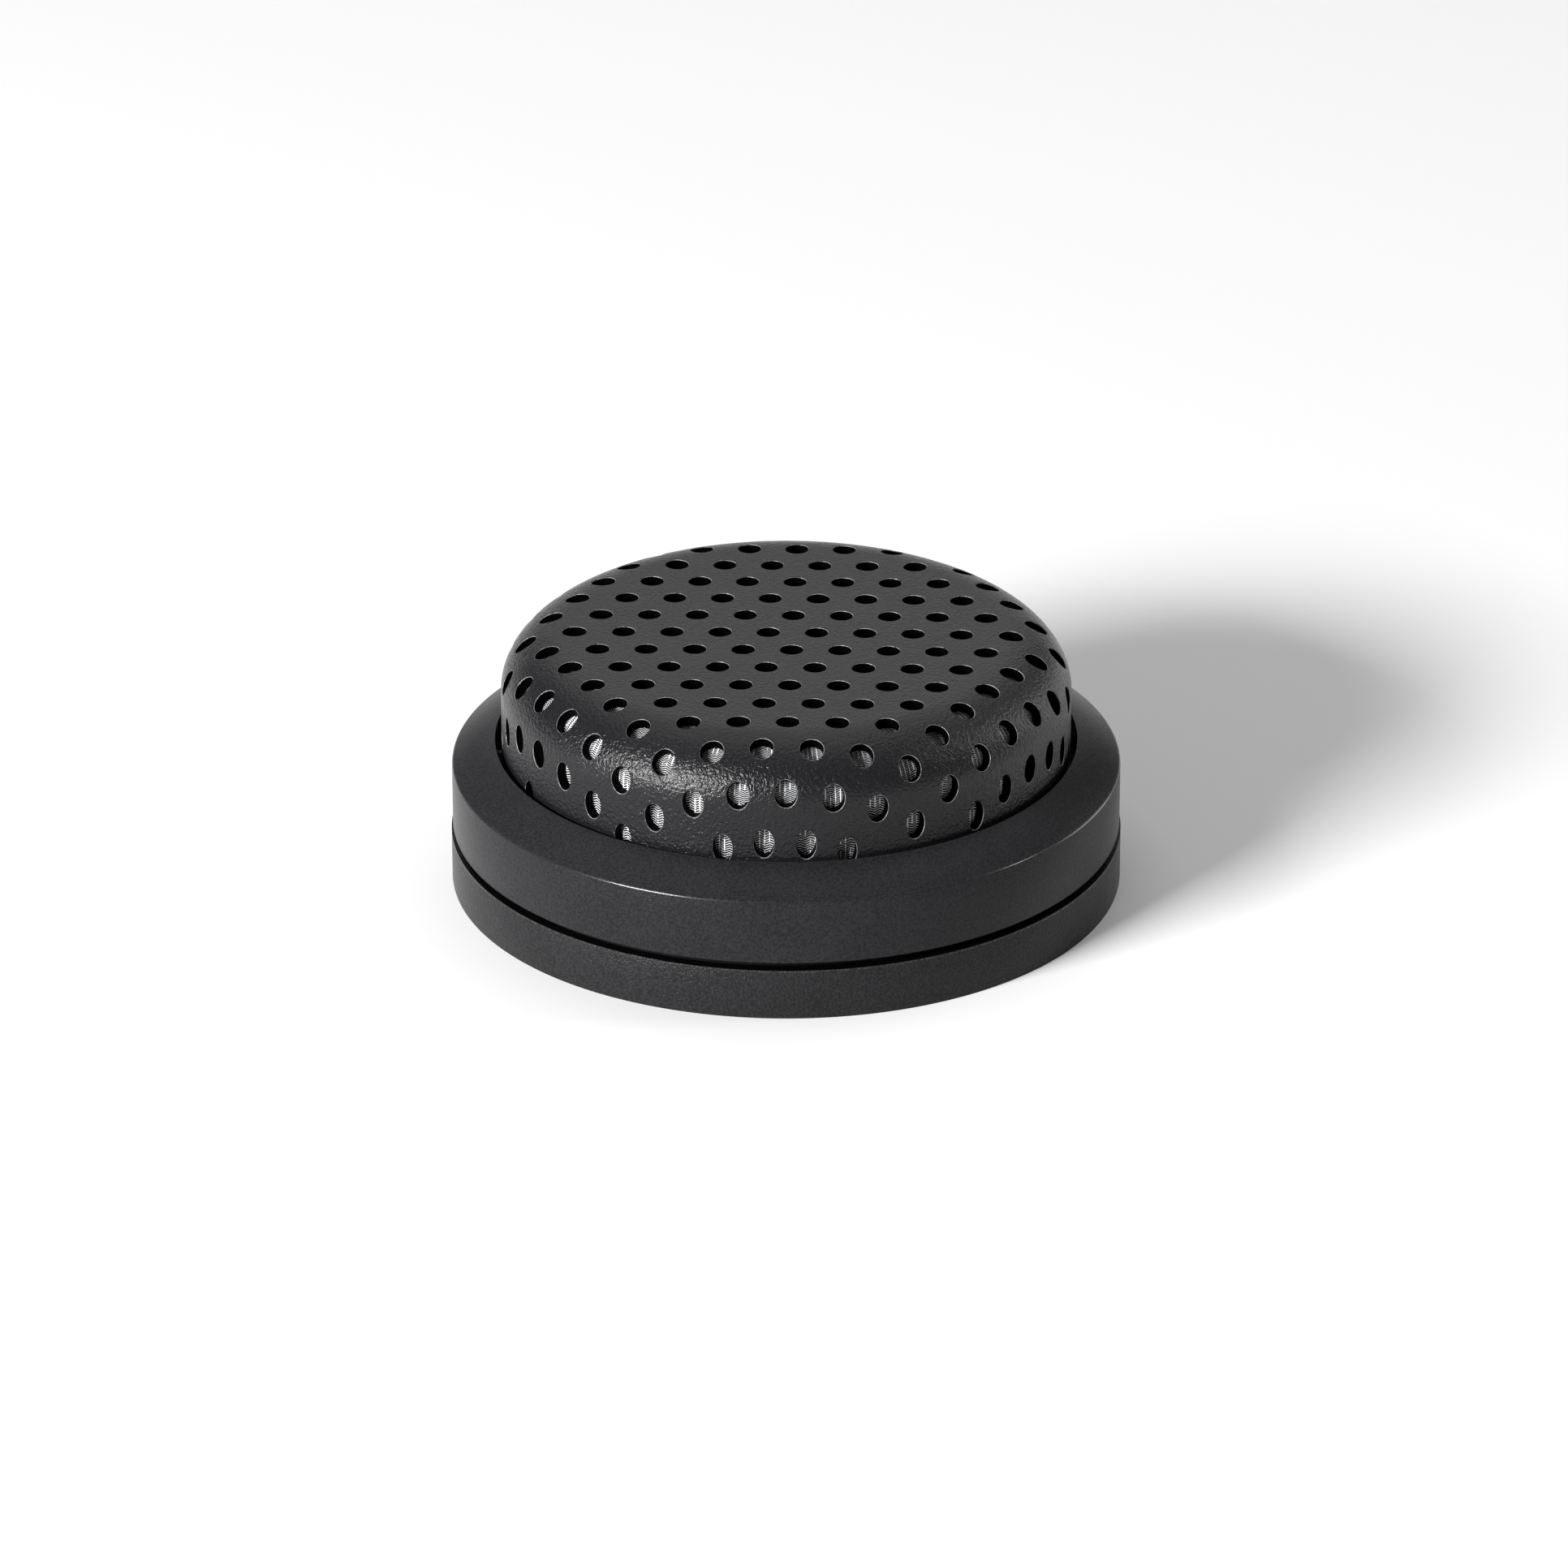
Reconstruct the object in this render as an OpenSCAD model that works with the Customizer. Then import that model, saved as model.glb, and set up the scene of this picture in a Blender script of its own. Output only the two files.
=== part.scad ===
// Soft-dome car tweeter in a round surface-mount case.
// Millimetres, +Z towards the listener, origin at the centre of the case's underside.
// The cable leaves at the back, +Y.

/* [Case] */
// Outside diameter of the rear housing
case_d = 49.0; // [48.6:0.1:50]
// Height of the rear housing's visible band
band_h = 3.78; // [3.7:0.02:3.9]
// Height of the dark groove between the band and the bezel
groove_h = 0.47; // [0.4:0.01:0.55]
// Outside diameter of the turned bezel ring
bezel_d = 48.8; // [48.4:0.1:49.4]
// Height of the bezel's straight side
bezel_side_h = 4.8; // [4.4:0.1:5]
// Diameter of the opening in the bezel's lip
lip_d = 42.4; // [42.2:0.1:42.8]
// Height of the bezel's inner top edge above the base
lip_z = 10.8; // [10.5:0.1:11]

/* [Grille] */
// Overall height of the tweeter
total_h = 18.9; // [18.5:0.1:20]
// Outside diameter of the drawn grille
grille_d = 41.5; // [41:0.1:41.6]
// Thickness of the grille's sheet
sheet_t = 0.8; // [0.6:0.1:0.9]
// Radial half-axis of the rounded shoulder
shoulder_r = 5.1; // [4.5:0.1:5.5]
// Vertical half-axis of the rounded shoulder
shoulder_h = 4.15; // [3.8:0.05:4.5]
// Diameter of one perforation
hole_d = 1.7; // [1.4:0.1:2]
// Distance between neighbouring perforations
hole_pitch = 3.5; // [3.3:0.1:4]

/* [Motor] */
// Outside diameter of the voice coil former
coil_d = 25.2; // [25:0.1:25.3]
// Rise of the dome above the voice coil
dome_rise = 5.4; // [4.5:0.1:6]

/* [Mounting] */
// Distance between the two mounting screws
screw_spacing = 37.0; // [36.8:0.1:37.2]
// Diameter of the mounting screws' minor thread
screw_minor_d = 2.5; // [2.4:0.1:2.6]

/* [Hidden] */
$fn = 96;
eps = 0.01;

// Case stack, from the base upwards
case_r = case_d / 2;
bezel_r = bezel_d / 2;
lip_r = lip_d / 2;
floor_t = 1.4;
edge_chamfer = 0.15;
bezel_z = band_h + groove_h;
shoulder_z = bezel_z + bezel_side_h;
lip_t = 1.7;
lip_under_z = lip_z - lip_t;
spigot_r = 22.9;
spigot_bore_r = 21.3;
spigot_top_z = 7.0;
bezel_clear = 0.15;
relief_r = [6, 14.5];
relief_t = 0.4;
gasket_gap = 0.05;
gasket_recess = 0.6;
grille_gasket_r = 20.2;
grille_gasket_gap = 0.2;

// Grille sheet, drawn from a flat perforated blank
grille_r = grille_d / 2;
flat_r = grille_r - shoulder_r;
wall_top_z = total_h - shoulder_h;
shoulder_len = PI / 2 * sqrt((shoulder_r * shoulder_r + shoulder_h * shoulder_h) / 2);
flange_z = lip_under_z - sheet_t;
flange_r = 22.7;
bend_r = 0.3;
shoulder_steps = 12;
lattice_turn = -1.3;
lattice_shift = [-1.3, 0.25];
stretch_from = 12.7;
stretch_2 = 0.0101;
stretch_3 = 0.0002;
punched_margin = 6.9;
punched_len = grille_r + punched_margin;
lattice_reach = 8;
liner_t = 0.25;
liner_gap = 0.05;
liner_hem_z = 8.1;

// Motor stack
pad_t = 0.3;
yoke_z = floor_t + pad_t;
yoke_floor_t = 1.8;
yoke_r = 15.5;
yoke_bore_r = 13.25;
yoke_top_z = 8.3;
magnet_r = 11.6;
magnet_z = yoke_z + yoke_floor_t;
plate_t = 2.0;
plate_z = yoke_top_z - plate_t;
plate_r = 12.2;
cap_t = 0.14;
felt_r = 9.5;
felt_t = 1.2;
chamber_felt_gap = [0.4, 0.3];
chamber_felt_z = [floor_t + 0.1, spigot_top_z - 0.7];

// Moving assembly
former_t = 0.1;
former_r = coil_d / 2;
glue_gap = 0.02;
former_z = 5.9;
winding_t = 0.35;
winding_h = 2.4;
land_z = 10.0;
dome_t = 0.25;
surround_t = 0.2;
roll_r = 1.3;
roll_at = 14.5;
land_r = [former_r + glue_gap, 16.8];

// Chassis, diaphragm clamp and face plate
carrier_z = spigot_top_z;
carrier_flange_t = 1.0;
carrier_r = 22.6;
carrier_top_z = 8.9;
clamp_r = [15.9, 19.3];
clamp_lip_r = 14.6;
plate_land_z = land_z + surround_t;
face_z = 11.4;
face_throat_z = 10.8;
face_bore_r = 16.3;

// Face plate screws, clear of the mounting screws and of the cable
face_screw_at = 17.7;
face_screw_turns = [30, 150, 270];
face_screw_r = 0.8;
face_screw_tip_z = 4.2;
face_head_r = 1.3;
face_head_z = 10.7;
face_head_h = 0.6;
boss_r = 1.9;
hole_clear = 0.1;
pilot_spare = 0.3;

// Mounting inserts
insert_r = 2.0;
insert_h = 4.0;
insert_spare = 0.4;
insert_boss_r = 2.7;
insert_boss_top_z = 5.4;

// Cable entry and connections
entry_w = 4.4;
entry_h = 2.0;
entry_z = floor_t;
entry_over = 1;
grommet_r = [spigot_bore_r - 0.5, case_r - 0.05];
wire_bore_d = 1.3;
wire_spacing = 2.2;
board_z = 4.6;
board_t = 0.8;
board_r = [16.2, 20.8];
board_half_turn = 24;
post_turns = [70, 110];
post_at = 19.6;
post_r = 0.8;
contact_turns = [80, 100];
rivet_at = 17.4;
rivet_r = 0.45;
rivet_head_r = 0.7;
rivet_head_h = 0.3;
tag_t = 0.4;
tag_w = 2.0;
tag_r = [16.6, 20.2];
tag_ear_h = 0.9;
wire_at = 18.6;
wire_r = 0.2;
wire_hole_r = 0.3;
lead_w = 0.5;
lead_t = 0.1;
lead_z = 9.75;
lead_end = 17.1;
contact_w = 1.6;
contact_r = [16.9, 19.0];
contact_spare = [0.2, 0.1];
through = 1;
felt_arcs = [[38, 60], [120, 142], [190, 262], [278, 350]];

// ---- helpers ----

// A ring, from its inner and outer radius and its lowest and highest z
module ring(r_in, r_out, z_low, z_high) {
    translate([0, 0, z_low]) difference() {
        cylinder(r = r_out, h = z_high - z_low);
        translate([0, 0, -eps]) cylinder(r = r_in, h = z_high - z_low + 2 * eps);
    }
}

// A solid of revolution, from its outline as [radius, z] points
module lathe(outline) {
    rotate_extrude() polygon(outline);
}

// Part of a ring, between two angles
module arc_block(r_in, r_out, z_low, z_high, turn_from, turn_to) {
    rotate([0, 0, turn_from]) rotate_extrude(angle = turn_to - turn_from)
        translate([r_in, z_low]) square([r_out - r_in, z_high - z_low]);
}

// Children copied to a radius at each of the given angles
module at_turns(radius, turns) {
    for (turn = turns) rotate([0, 0, turn]) translate([radius, 0, 0]) children();
}

// A plain upright drill
module drill(r, z_low, z_high) {
    translate([0, 0, z_low]) cylinder(r = r, h = z_high - z_low);
}

// ---- case ----

module rear_housing() {
    color([0.10, 0.10, 0.11]) difference() {
        union() {
            lathe([
                [0, 0], [case_r - edge_chamfer, 0], [case_r, edge_chamfer],
                [case_r, band_h - edge_chamfer], [case_r - edge_chamfer, band_h],
                [spigot_r, band_h], [spigot_r, spigot_top_z], [spigot_bore_r, spigot_top_z],
                [spigot_bore_r, floor_t], [0, floor_t]
            ]);
            at_turns(face_screw_at, face_screw_turns) drill(boss_r, floor_t - eps, spigot_top_z);
            at_turns(screw_spacing / 2, [0, 180])
                drill(insert_boss_r, floor_t - eps, insert_boss_top_z);
            at_turns(post_at, post_turns) drill(post_r, floor_t - eps, board_z);
        }
        ring(relief_r[0], relief_r[1], -eps, relief_t);
        at_turns(face_screw_at, face_screw_turns)
            drill(face_screw_r, face_screw_tip_z - pilot_spare, spigot_top_z + eps);
        at_turns(screw_spacing / 2, [0, 180]) drill(insert_r, -eps, insert_h + insert_spare);
        translate([-entry_w / 2, spigot_bore_r - entry_over, entry_z])
            cube([entry_w, case_r - spigot_bore_r + 2 * entry_over, entry_h]);
    }
}

module mounting_inserts() {
    color([0.75, 0.60, 0.30]) at_turns(screw_spacing / 2, [0, 180])
        ring(screw_minor_d / 2, insert_r, 0, insert_h);
}

module cable_grommet() {
    color([0.05, 0.05, 0.05]) difference() {
        intersection() {
            translate([-entry_w / 2, 0, entry_z]) cube([entry_w, case_r, entry_h]);
            ring(grommet_r[0], grommet_r[1], 0, spigot_top_z);
        }
        for (side = [-1, 1]) translate([side * wire_spacing / 2, 0, entry_z + entry_h / 2])
            rotate([-90, 0, 0]) cylinder(d = wire_bore_d, h = case_r + through);
    }
}

module bezel_gasket() {
    color([0.02, 0.02, 0.02]) ring(spigot_r + gasket_gap, bezel_r - gasket_recess, band_h, bezel_z);
}

module bezel_ring() {
    recess_r = spigot_r + bezel_clear;
    color([0.16, 0.16, 0.17]) lathe([
        [recess_r, bezel_z], [bezel_r - edge_chamfer, bezel_z], [bezel_r, bezel_z + edge_chamfer],
        [bezel_r, shoulder_z], [lip_r, lip_z], [lip_r, lip_under_z], [recess_r, lip_under_z]
    ]);
}

// ---- motor ----

module motor_pad() {
    color([0.25, 0.25, 0.26]) drill(relief_r[1], floor_t, yoke_z);
}

module yoke_cup() {
    yoke_chamfer = 0.5;
    color([0.62, 0.62, 0.64]) lathe([
        [0, yoke_z], [yoke_r - yoke_chamfer, yoke_z], [yoke_r, yoke_z + yoke_chamfer],
        [yoke_r, yoke_top_z], [yoke_bore_r, yoke_top_z], [yoke_bore_r, magnet_z], [0, magnet_z]
    ]);
}

module magnet() {
    magnet_chamfer = 0.25;
    color([0.70, 0.70, 0.72]) lathe([
        [0, magnet_z], [magnet_r - magnet_chamfer, magnet_z],
        [magnet_r, magnet_z + magnet_chamfer], [magnet_r, plate_z - magnet_chamfer],
        [magnet_r - magnet_chamfer, plate_z], [0, plate_z]
    ]);
}

module pole_plate() {
    color([0.62, 0.62, 0.64]) drill(plate_r, plate_z, yoke_top_z);
}

module shorting_cap() {
    color([0.80, 0.45, 0.25]) difference() {
        drill(plate_r + cap_t, plate_z, yoke_top_z + cap_t);
        drill(plate_r, plate_z - eps, yoke_top_z);
    }
}

module pole_damping_pad() {
    color([0.35, 0.35, 0.36]) drill(felt_r, yoke_top_z + cap_t, yoke_top_z + cap_t + felt_t);
}

module chamber_felt() {
    color([0.80, 0.79, 0.75]) for (arc = felt_arcs)
        arc_block(yoke_r + chamber_felt_gap[0], spigot_bore_r - chamber_felt_gap[1],
            chamber_felt_z[0], chamber_felt_z[1], arc[0], arc[1]);
}

// ---- connections ----

module terminal_board() {
    color([0.25, 0.35, 0.20]) difference() {
        arc_block(board_r[0], board_r[1], board_z, board_z + board_t,
            90 - board_half_turn, 90 + board_half_turn);
        at_turns(rivet_at, contact_turns) drill(rivet_r, board_z - through, board_z + board_t + through);
    }
}

module solder_tags() {
    tag_z = board_z + board_t;
    color([0.80, 0.65, 0.35]) for (turn = contact_turns) rotate([0, 0, turn]) difference() {
        union() {
            translate([tag_r[0], -tag_w / 2, tag_z]) cube([tag_r[1] - tag_r[0], tag_w, tag_t]);
            translate([tag_r[1] - tag_t, -tag_w / 2, tag_z]) cube([tag_t, tag_w, tag_t + tag_ear_h]);
        }
        translate([rivet_at, 0, 0]) drill(rivet_r, tag_z - through, tag_z + tag_t + through);
    }
}

module terminal_rivets() {
    tag_top_z = board_z + board_t + tag_t;
    color([0.85, 0.70, 0.40]) at_turns(rivet_at, contact_turns) {
        drill(rivet_r, board_z - rivet_head_h, tag_top_z + rivet_head_h);
        drill(rivet_head_r, board_z - rivet_head_h, board_z);
        drill(rivet_head_r, tag_top_z, tag_top_z + rivet_head_h);
    }
}

module internal_wires() {
    color([0.70, 0.15, 0.12]) at_turns(wire_at, contact_turns)
        drill(wire_r, board_z + board_t + tag_t, land_z);
}

module contact_tabs() {
    color([0.80, 0.65, 0.35]) for (turn = contact_turns) rotate([0, 0, turn])
        translate([contact_r[0], -contact_w / 2, land_z])
            cube([contact_r[1] - contact_r[0], contact_w, surround_t]);
}

module lead_out_wires() {
    color([0.80, 0.45, 0.25]) for (turn = contact_turns) rotate([0, 0, turn]) {
        translate([former_r + glue_gap, -lead_w / 2, lead_z])
            cube([lead_end - former_r - glue_gap, lead_w, lead_t]);
        translate([lead_end - lead_t, -lead_w / 2, lead_z]) cube([lead_t, lead_w, land_z - lead_z]);
    }
}

// ---- chassis and face plate ----

module motor_carrier() {
    color([0.14, 0.14, 0.15]) difference() {
        lathe([
            [yoke_r, carrier_z], [carrier_r, carrier_z], [carrier_r, carrier_z + carrier_flange_t],
            [clamp_r[1], carrier_z + carrier_flange_t], [clamp_r[1], carrier_top_z],
            [clamp_lip_r, carrier_top_z], [clamp_lip_r, yoke_top_z], [yoke_r, yoke_top_z]
        ]);
        at_turns(face_screw_at, face_screw_turns)
            drill(face_screw_r + hole_clear, carrier_z - eps, carrier_top_z + eps);
        at_turns(wire_at, contact_turns) drill(wire_hole_r, carrier_z - eps, carrier_top_z + eps);
    }
}

module diaphragm_mounting_ring() {
    slot_t = land_z - lead_z + lead_t / 2;
    color([0.20, 0.20, 0.21]) difference() {
        ring(clamp_r[0], clamp_r[1], carrier_top_z, land_z);
        at_turns(face_screw_at, face_screw_turns)
            drill(face_screw_r + hole_clear, carrier_top_z - eps, land_z + eps);
        at_turns(wire_at, contact_turns) drill(wire_hole_r, carrier_top_z - eps, land_z + eps);
        for (turn = contact_turns) rotate([0, 0, turn])
            translate([clamp_r[0] - through, -lead_w / 2 - hole_clear, land_z - slot_t])
                cube([lead_end - clamp_r[0] + through + hole_clear, lead_w + 2 * hole_clear,
                    slot_t + through]);
    }
}

module face_plate() {
    color([0.12, 0.12, 0.13]) difference() {
        lathe([
            [face_bore_r, plate_land_z], [land_r[1], plate_land_z], [land_r[1], land_z],
            [clamp_r[1], land_z], [clamp_r[1], face_z], [face_bore_r, face_throat_z]
        ]);
        at_turns(face_screw_at, face_screw_turns) {
            drill(face_screw_r + hole_clear, land_z - eps, face_z + eps);
            drill(face_head_r + hole_clear, face_head_z, face_z + eps);
        }
        for (turn = contact_turns) rotate([0, 0, turn])
            translate([contact_r[0] - contact_spare[0], -contact_w / 2 - hole_clear, land_z - eps])
                cube([contact_r[1] - contact_r[0] + contact_spare[0] + contact_spare[1],
                    contact_w + 2 * hole_clear, surround_t + eps]);
    }
}

module face_plate_screws() {
    slot_w = 0.35;
    slot_len = 2 * face_screw_r;
    slot_t = 0.3;
    head_top_z = face_head_z + face_head_h;
    color([0.30, 0.30, 0.31]) at_turns(face_screw_at, face_screw_turns) difference() {
        union() {
            drill(face_screw_r, face_screw_tip_z, head_top_z);
            drill(face_head_r, face_head_z, head_top_z);
        }
        for (quarter = [0, 90]) rotate([0, 0, quarter])
            translate([-slot_w / 2, -slot_len / 2, head_top_z - slot_t])
                cube([slot_w, slot_len, slot_t + eps]);
    }
}

// ---- moving assembly ----

module voice_coil_former() {
    color([0.72, 0.55, 0.25]) ring(former_r - former_t, former_r, former_z, land_z);
}

module voice_coil_winding() {
    mid_z = yoke_top_z - plate_t / 2;
    color([0.78, 0.42, 0.22])
        ring(former_r, former_r + winding_t, mid_z - winding_h / 2, mid_z + winding_h / 2);
}

module dome_diaphragm() {
    dome_r = (former_r * former_r + dome_rise * dome_rise) / (2 * dome_rise);
    color([0.13, 0.12, 0.12]) difference() {
        translate([0, 0, land_z + dome_rise - dome_r]) sphere(r = dome_r);
        translate([0, 0, land_z + dome_rise - dome_r]) sphere(r = dome_r - dome_t);
        translate([0, 0, land_z - 2 * dome_r]) cube(4 * dome_r, center = true);
    }
}

// Half-roll edge, as points along the roll's outside and back along its inside
module surround() {
    steps = 12;
    outside = [for (i = [0:steps]) let (turn = 180 - 180 * i / steps)
        [roll_at + roll_r * cos(turn), land_z + max(surround_t, roll_r * sin(turn))]];
    inside_r = roll_r - surround_t;
    inside = [for (i = [0:steps]) let (turn = 180 * i / steps)
        [roll_at + inside_r * cos(turn), land_z + inside_r * sin(turn)]];
    color([0.10, 0.10, 0.10]) lathe(concat(
        [[land_r[0], land_z], [land_r[0], plate_land_z]], outside,
        [[land_r[1], plate_land_z], [land_r[1], land_z]], inside
    ));
}

// ---- grille ----

// Half outline of the drawn sheet, outside or inside, from the centre down to the wall
function drawn_outline(inset) = concat(
    [[0, total_h - inset]],
    [for (i = [0:shoulder_steps]) let (turn = 90 * i / shoulder_steps)
        [flat_r + (shoulder_r - inset) * sin(turn), wall_top_z + (shoulder_h - inset) * cos(turn)]]
);

function reversed(points) = [for (i = [len(points) - 1:-1:0]) points[i]];

// How far from the centre a point of the flat blank lies once the sheet is drawn
function drawn_len(flat_len) = let (past = max(0, flat_len - stretch_from))
    flat_len + stretch_2 * past * past + stretch_3 * past * past * past;

// [radius, z, tilt] of the point that lies a given length from the centre along the sheet
function drawn_place(length) =
    length <= flat_r ? [length, total_h, 0] :
    length <= flat_r + shoulder_len ? let (turn = 90 * (length - flat_r) / shoulder_len) [
        flat_r + shoulder_r * sin(turn), wall_top_z + shoulder_h * cos(turn),
        atan2(shoulder_h * sin(turn), shoulder_r * cos(turn))] :
    [grille_r, wall_top_z - (length - flat_r - shoulder_len), 90];

function lattice_point(i, j) = let (
    x = hole_pitch * (i + j / 2),
    y = hole_pitch * sqrt(3) / 2 * j
) [
    lattice_shift[0] + x * cos(lattice_turn) - y * sin(lattice_turn),
    lattice_shift[1] + x * sin(lattice_turn) + y * cos(lattice_turn)
];

// Every perforation of the blank that falls inside the punched area
module perforations() {
    for (i = [-2 * lattice_reach:2 * lattice_reach], j = [-lattice_reach:lattice_reach]) {
        point = lattice_point(i, j);
        length = drawn_len(norm(point));
        place = drawn_place(length);
        if (length < punched_len) rotate([0, 0, atan2(point[1], point[0])])
            translate([place[0], 0, place[1]]) rotate([0, place[2], 0])
                cylinder(d = hole_d, h = 3 * sheet_t, center = true, $fn = 24);
    }
}

module grille() {
    bend_steps = 4;
    outer_bend = [for (i = [0:bend_steps]) let (turn = 90 * i / bend_steps)
        [grille_r + bend_r * (1 - cos(turn)), lip_under_z + bend_r * (1 - sin(turn))]];
    color([0.13, 0.13, 0.14]) difference() {
        lathe(concat(
            drawn_outline(0), outer_bend,
            [[flange_r, lip_under_z], [flange_r, flange_z], [grille_r, flange_z],
                [grille_r - sheet_t, lip_under_z]],
            reversed(drawn_outline(sheet_t))
        ));
        perforations();
    }
}

module mesh_liner() {
    outer = sheet_t + liner_gap;
    inner = outer + liner_t;
    color([0.55, 0.56, 0.58]) lathe(concat(
        drawn_outline(outer), [[grille_r - outer, liner_hem_z], [grille_r - inner, liner_hem_z]],
        reversed(drawn_outline(inner))
    ));
}

module grille_gasket() {
    color([0.05, 0.05, 0.05])
        ring(grille_gasket_r, flange_r - grille_gasket_gap, carrier_z + carrier_flange_t, flange_z);
}

rear_housing();
mounting_inserts();
cable_grommet();
motor_pad();
yoke_cup();
magnet();
pole_plate();
shorting_cap();
pole_damping_pad();
chamber_felt();
terminal_board();
solder_tags();
terminal_rivets();
internal_wires();
motor_carrier();
voice_coil_former();
voice_coil_winding();
dome_diaphragm();
surround();
lead_out_wires();
diaphragm_mounting_ring();
contact_tabs();
face_plate();
face_plate_screws();
bezel_gasket();
bezel_ring();
grille_gasket();
grille();
mesh_liner();
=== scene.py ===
# %% [markdown]
# # A car tweeter, dressed around its CAD frame
# The frame holds every size, joint and hidden part. This lesson adds what the eye sees: a drawn and
# perforated steel grille over a woven liner, a turned bezel, a moulded housing, and a finish for each
# part of the motor inside. Lengths are metres, and +Z points at the listener.

import math

import bpy
import numpy as np
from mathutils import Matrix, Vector


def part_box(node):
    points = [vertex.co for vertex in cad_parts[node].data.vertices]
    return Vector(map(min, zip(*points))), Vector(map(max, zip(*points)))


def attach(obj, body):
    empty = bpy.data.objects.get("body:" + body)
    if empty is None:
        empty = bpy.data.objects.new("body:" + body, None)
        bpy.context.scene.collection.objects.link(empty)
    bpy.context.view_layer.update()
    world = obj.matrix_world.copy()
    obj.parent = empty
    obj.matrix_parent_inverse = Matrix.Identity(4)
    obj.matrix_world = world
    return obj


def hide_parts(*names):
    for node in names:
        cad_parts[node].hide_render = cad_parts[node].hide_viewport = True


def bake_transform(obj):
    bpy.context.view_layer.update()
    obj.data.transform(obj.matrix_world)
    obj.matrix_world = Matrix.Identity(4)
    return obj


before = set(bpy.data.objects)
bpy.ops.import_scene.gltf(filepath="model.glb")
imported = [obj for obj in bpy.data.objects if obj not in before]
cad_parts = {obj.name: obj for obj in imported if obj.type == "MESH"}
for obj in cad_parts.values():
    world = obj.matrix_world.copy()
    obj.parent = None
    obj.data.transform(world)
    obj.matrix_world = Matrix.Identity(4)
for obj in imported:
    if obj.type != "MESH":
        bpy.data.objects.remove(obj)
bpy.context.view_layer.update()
MM = 0.001
print("frame holds", len(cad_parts), "parts")

# %% [markdown]
# ## The camera
# The view is a long lens a little above the tweeter. A long lens keeps the round case nearly free of
# perspective, as in catalogue pictures of small parts.

# %% Camera
CAMERA_UP = math.radians(25.34)
CAMERA_FAR = 628.0 * MM
AIM = Vector((-0.16 * MM, 0, 6.80 * MM))
LENS_MM = 197.1
camera = bpy.data.objects.new("camera", bpy.data.cameras.new("camera"))
bpy.context.scene.collection.objects.link(camera)
camera.data.lens = LENS_MM
camera.data.sensor_width = 36.0
camera.data.clip_start = 0.01
camera.location = AIM + CAMERA_FAR * Vector((0, -math.cos(CAMERA_UP), math.sin(CAMERA_UP)))
camera.rotation_euler = (math.pi / 2 - CAMERA_UP, 0, 0)
bpy.context.scene.camera = camera
print("camera at", [round(c, 4) for c in camera.location])

# %% [markdown]
# ## Sizes from the frame
# Most places are read from the boxes of the CAD parts, so the pieces made here follow the frame. A box
# doesn't tell the shape of the grille's press tool, the bezel's recess, the roll of the surround or the
# places inside the housing, so those sizes are given again in their own cells.

# %% Sizes
housing_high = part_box("rear_housing")[1]
bezel_low, bezel_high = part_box("bezel_ring")
gasket_low, gasket_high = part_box("bezel_gasket")
grille_low, grille_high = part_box("grille")
liner_low, liner_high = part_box("mesh_liner")
insert_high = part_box("mounting_inserts")[1]
grommet_low, grommet_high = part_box("cable_grommet")

CASE_R = housing_high.x
SPIGOT_TOP = housing_high.z
BAND_TOP = gasket_low.z
BEZEL_R = bezel_high.x
LIP_Z = bezel_high.z
TOP_Z = grille_high.z
FLANGE_R = grille_high.x
FLANGE_LOW = grille_low.z
SHEET = 0.8 * MM
FLANGE_TOP = FLANGE_LOW + SHEET
LINER_T = 0.25 * MM
LINER_R = liner_high.x
LINER_GAP = 0.05 * MM
WALL_R = LINER_R + SHEET + LINER_GAP
LIP_R = WALL_R + 0.45 * MM
BEZEL_SIDE = 4.8 * MM
AXIS_R = 0.002 * MM
print("grille wall radius", round(WALL_R / MM, 3), "mm, case radius", round(CASE_R / MM, 3), "mm")

# %% [markdown]
# ## Working by hand, in code
# Most parts of a loudspeaker are turned or pressed round. On a lathe the tool follows an outline; here a
# circle is extruded and scaled along the same outline, ring by ring. `turned` does that with the
# operators a person would use, then closes the skin and rounds its edges with a Bevel modifier.

# %% Helpers for modelling
def only(obj):
    """Makes obj the one selected, active object."""
    if bpy.context.object and bpy.context.object.mode != "OBJECT":
        bpy.ops.object.mode_set(mode="OBJECT")
    bpy.ops.object.select_all(action="DESELECT")
    if obj:
        obj.select_set(True)
        bpy.context.view_layer.objects.active = obj


def apply_all(obj):
    """Applies obj's modifiers, from first to last."""
    only(obj)
    for modifier in list(obj.modifiers):
        bpy.ops.object.modifier_apply(modifier=modifier.name)


def ring_step(old_r, old_z, new_r, new_z):
    """Extrudes the selected ring of edges from one radius and height to the next."""
    bpy.ops.mesh.extrude_edges_move()
    k = new_r / old_r
    bpy.ops.transform.resize(value=(k, k, 1), center_override=(0, 0, old_z))
    bpy.ops.transform.translate(value=(0, 0, new_z - old_z))


def round_edges(obj, width, segments=3, angle=30):
    """Rounds every edge of obj that is sharper than the angle."""
    bevel = obj.modifiers.new("rounding", "BEVEL")
    bevel.width = width
    bevel.segments = segments
    bevel.limit_method = "ANGLE"
    bevel.angle_limit = math.radians(angle)
    apply_all(obj)


def smooth(obj, angle=35):
    """Shades obj smooth, except across edges that are sharper than the angle."""
    only(obj)
    bpy.ops.object.shade_smooth_by_angle(angle=math.radians(angle))


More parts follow.
